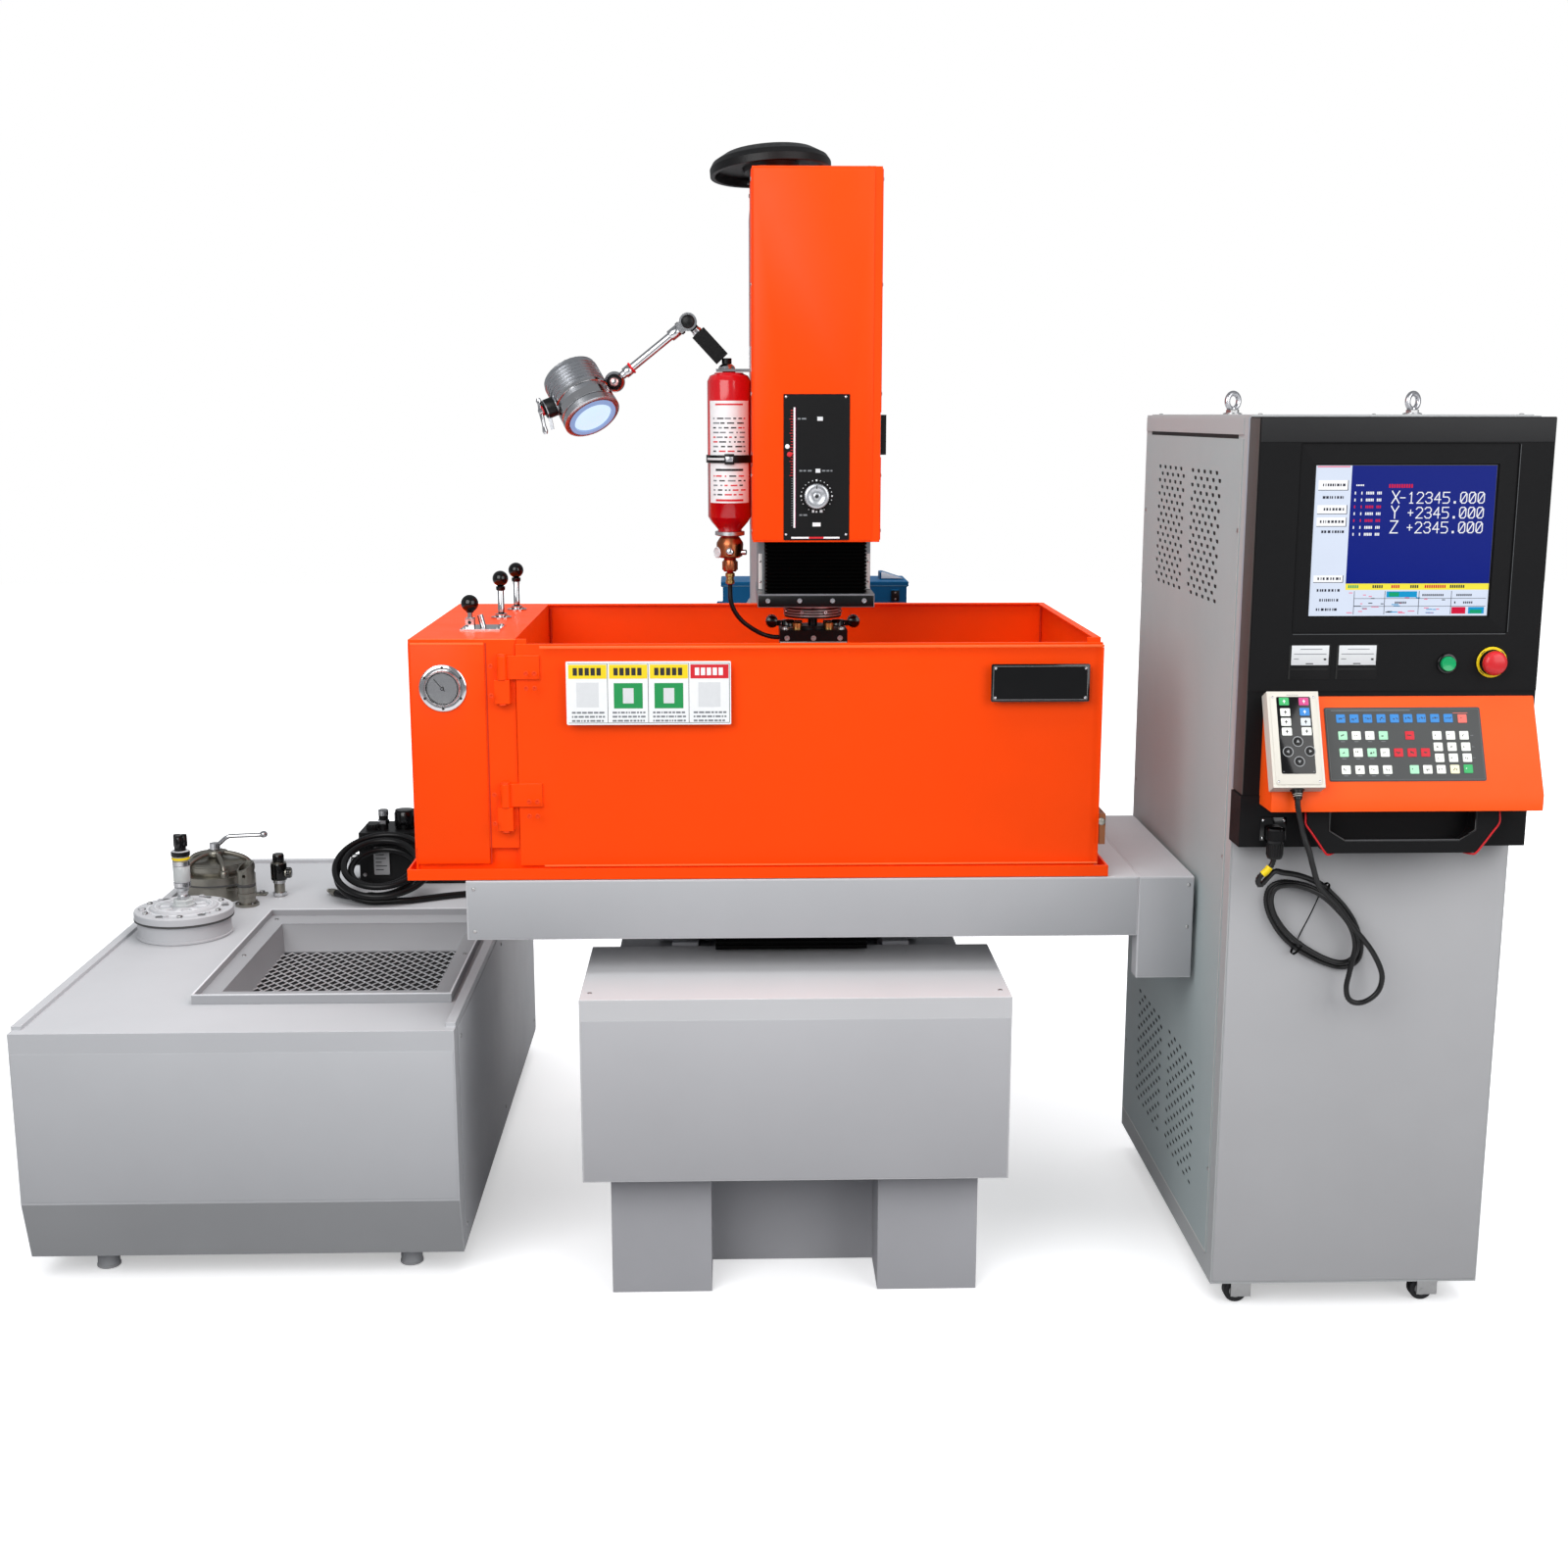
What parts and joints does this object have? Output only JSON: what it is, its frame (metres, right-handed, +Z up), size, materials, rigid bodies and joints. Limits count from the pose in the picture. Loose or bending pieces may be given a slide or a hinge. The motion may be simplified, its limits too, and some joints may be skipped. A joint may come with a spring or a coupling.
{
  "type": "sinker electrical discharge machine",
  "caption": "C-frame spark eroding machine with an orange work tank and ram head, a grey dielectric unit with strainer and pump, and a control cabinet with sloped console.",
  "frame": {"origin": "bottom centre of the whole set on the floor", "axes": "+X to the right across the set, from the dielectric unit to the cabinet; +Y to the back; +Z up"},
  "size_m": [2.6, 1.592, 2.0592],
  "materials": {
    "casting_grey": "semi-gloss grey enamel on cast iron",
    "cover_grey": "light grey painted sheet",
    "tank_orange": "gloss orange painted sheet",
    "box_blue": "dark blue painted sheet",
    "cabinet_grey": "warm grey powder-coated sheet",
    "dark_steel": "black painted steel",
    "black_plastic": "black textured plastic",
    "panel_black": "black control front",
    "machined_iron": "ground and scraped iron",
    "steel": "bright machined steel",
    "aluminium": "ribbed die-cast aluminium",
    "extinguisher_red": "gloss red cylinder",
    "hose_rubber": "black rubber hose",
    "cable_rubber": "black cable sheath",
    "pendant_cream": "cream moulded plastic",
    "screen_glass": "lit display behind a clear face",
    "button_green": "green push button",
    "button_red": "red mushroom button",
    "ball_black": "black ball knobs on plated rods",
    "latch_brown": "brown patinated steel",
    "electric_grey": "power supply units",
    "tyre_grey": "caster tyre",
    "strainer_grey": "grey painted tray with mesh"
  },
  "bodies": {
    "root": {"bed": "casting_grey", "front_cover": "cover_grey", "servo_motors": "dark_steel", "column": "casting_grey", "rear_box": "box_blue", "head_housing": "tank_orange", "head_panel": "panel_black", "z_drive_cover": "dark_steel", "z_bellows": "black_plastic", "extinguisher": "extinguisher_red", "extinguisher_hose": "hose_rubber", "lamp_base": "dark_steel", "dielectric_tank": "cover_grey", "strainer_tray": "strainer_grey", "front_canister": "cover_grey", "rear_canister": "aluminium", "pump": "dark_steel", "hose_coil": "hose_rubber", "supply_hose": "hose_rubber", "cabinet_shell": "cabinet_grey", "bezel": "panel_black", "screen": "screen_glass", "console": "tank_orange", "pendant": "pendant_cream", "pendant_cable": "cable_rubber", "cable_plug": "black_plastic", "power_unit": "electric_grey", "eye_bolts": "steel"},
    "saddle": {"saddle": "casting_grey", "x_motor_cover": "cover_grey", "x_servo": "dark_steel"},
    "table": {"cross_table": "machined_iron", "work_tank": "tank_orange", "work_table": "machined_iron", "tank_fittings": "steel"},
    "door": {"tank_door": "tank_orange"},
    "latch": {"tank_latch": "latch_brown"},
    "gate_lever": {"gate_lever": "ball_black"},
    "flush_rod": {"flush_rod": "ball_black"},
    "drain_rod": {"drain_rod": "ball_black"},
    "gauge_needle": {"gauge_needle": "black_plastic"},
    "ram": {"ram": "machined_iron", "electrode_holder": "dark_steel"},
    "head_dial": {"head_dial": "aluminium"},
    "lamp_lower_arm": {"lamp_lower_arm": "dark_steel"},
    "lamp_upper_arm": {"lamp_upper_arm": "steel"},
    "lamp_head": {"lamp_head": "aluminium"},
    "air_valve_knob": {"air_valve_knob": "black_plastic"},
    "clamp_lever": {"clamp_lever": "steel"},
    "start_button": {"start_button": "button_green"},
    "stop_button": {"stop_button": "button_red"},
    "left_fork": {"left_fork": "steel"},
    "right_fork": {"right_fork": "steel"},
    "front_left_wheel": {"front_left_wheel": "tyre_grey"},
    "front_right_wheel": {"front_right_wheel": "tyre_grey"},
    "rear_left_wheel": {"rear_left_wheel": "tyre_grey"},
    "rear_right_wheel": {"rear_right_wheel": "tyre_grey"},
    "x_screw": {"x_screw": "steel"},
    "y_screw": {"y_screw": "steel"},
    "z_screw": {"z_screw": "steel"}
  },
  "joints": [
    {"name": "saddle_slide", "type": "slide", "parent": "root", "child": "saddle", "axis": [0, 1, 0], "range_m": [-0.125, 0.125]},
    {"name": "table_slide", "type": "slide", "parent": "saddle", "child": "table", "axis": [1, 0, 0], "range_m": [-0.19, 0.156]},
    {"name": "door_hinge", "type": "hinge", "parent": "table", "child": "door", "pos_m": [-0.416, -0.44236, 1], "axis": [0, 0, -1], "range_deg": [0, 120]},
    {"name": "latch_pivot", "type": "hinge", "parent": "table", "child": "latch", "pos_m": [0.637, -0.39636, 0.845], "axis": [-1, 0, 0], "range_deg": [0, 60]},
    {"name": "gate_lever_tilt", "type": "hinge", "parent": "table", "child": "gate_lever", "pos_m": [-0.494, -0.25936, 1.19], "axis": [0, -1, 0], "range_deg": [-8, 40]},
    {"name": "flush_rod_lift", "type": "slide", "parent": "table", "child": "flush_rod", "axis": [0, 0, 1], "range_m": [0, 0.05]},
    {"name": "drain_rod_lift", "type": "slide", "parent": "table", "child": "drain_rod", "axis": [0, 0, 1], "range_m": [0, 0.05]},
    {"name": "gauge_needle_turn", "type": "hinge", "parent": "table", "child": "gauge_needle", "pos_m": [-0.521, -0.44236, 1.093], "axis": [0, 1, 0], "range_deg": [0, 180]},
    {"name": "ram_slide", "type": "slide", "parent": "root", "child": "ram", "axis": [0, 0, 1], "range_m": [-0.15, 0.07], "deforming": ["z_bellows", "extinguisher_hose"]},
    {"name": "head_dial_turn", "type": "hinge", "parent": "root", "child": "head_dial", "pos_m": [0.14, -0.29436, 1.419], "axis": [0, -1, 0], "range_deg": [-150, 150]},
    {"name": "lamp_pan", "type": "hinge", "parent": "root", "child": "lamp_lower_arm", "pos_m": [-0.021, -0.19436, 1.654], "axis": [0, 0, 1], "range_deg": [-50, 70]},
    {"name": "lamp_elbow", "type": "hinge", "parent": "lamp_lower_arm", "child": "lamp_upper_arm", "pos_m": [-0.091, -0.19436, 1.729], "axis": [0, 1, 0], "range_deg": [-22, 60]},
    {"name": "lamp_tilt", "type": "hinge", "parent": "lamp_upper_arm", "child": "lamp_head", "pos_m": [-0.226, -0.19436, 1.622], "axis": [0.8981, 0.2495, 0.3621], "range_deg": [-40, 30]},
    {"name": "air_valve_turn", "type": "hinge", "parent": "root", "child": "air_valve_knob", "pos_m": [-1.172, 0.15064, 0.672], "axis": [0, 0, 1], "range_deg": [0, 540]},
    {"name": "clamp_lever_turn", "type": "hinge", "parent": "root", "child": "clamp_lever", "pos_m": [-1.19, 0.47164, 0.604], "axis": [0, 0, 1], "range_deg": [-60, 120]},
    {"name": "start_press", "type": "slide", "parent": "root", "child": "start_button", "axis": [0, 1, 0], "range_m": [0, 0.004], "stiffness_N_per_m": 300, "springref_m": -0.002},
    {"name": "stop_press", "type": "slide", "parent": "root", "child": "stop_button", "axis": [0, 1, 0], "range_m": [0, 0.005], "stiffness_N_per_m": 600, "springref_m": -0.002},
    {"name": "left_fork_swivel", "type": "hinge", "parent": "root", "child": "left_fork", "pos_m": [0.895, -0.59636, 0.046], "axis": [0, 0, 1], "continuous": true},
    {"name": "front_left_wheel_spin", "type": "hinge", "parent": "left_fork", "child": "front_left_wheel", "pos_m": [0.883, -0.59636, 0.021], "axis": [0, 1, 0], "continuous": true},
    {"name": "rear_left_wheel_spin", "type": "hinge", "parent": "root", "child": "rear_left_wheel", "pos_m": [0.895, 0.04364, 0.021], "axis": [1, 0, 0], "continuous": true},
    {"name": "right_fork_swivel", "type": "hinge", "parent": "root", "child": "right_fork", "pos_m": [1.231, -0.59636, 0.046], "axis": [0, 0, 1], "continuous": true},
    {"name": "front_right_wheel_spin", "type": "hinge", "parent": "right_fork", "child": "front_right_wheel", "pos_m": [1.219, -0.59636, 0.021], "axis": [0, 1, 0], "continuous": true},
    {"name": "rear_right_wheel_spin", "type": "hinge", "parent": "root", "child": "rear_right_wheel", "pos_m": [1.231, 0.04364, 0.021], "axis": [1, 0, 0], "continuous": true},
    {"name": "x_screw_turn", "type": "hinge", "parent": "saddle", "child": "x_screw", "pos_m": [0.14, -0.19186, 0.69], "axis": [1, 0, 0], "continuous": true},
    {"name": "y_screw_turn", "type": "hinge", "parent": "root", "child": "y_screw", "pos_m": [0.094, -0.13436, 0.5], "axis": [0, 1, 0], "continuous": true},
    {"name": "z_screw_turn", "type": "hinge", "parent": "root", "child": "z_screw", "pos_m": [0.14, -0.11436, 1.6], "axis": [0, 0, 1], "continuous": true}
  ],
  "couplings": [
    {"joint": "x_screw_turn", "follows": "table_slide", "rad_per_m": 1256.6},
    {"joint": "y_screw_turn", "follows": "saddle_slide", "rad_per_m": 1256.6},
    {"joint": "z_screw_turn", "follows": "ram_slide", "rad_per_m": 1256.6}
  ]
}
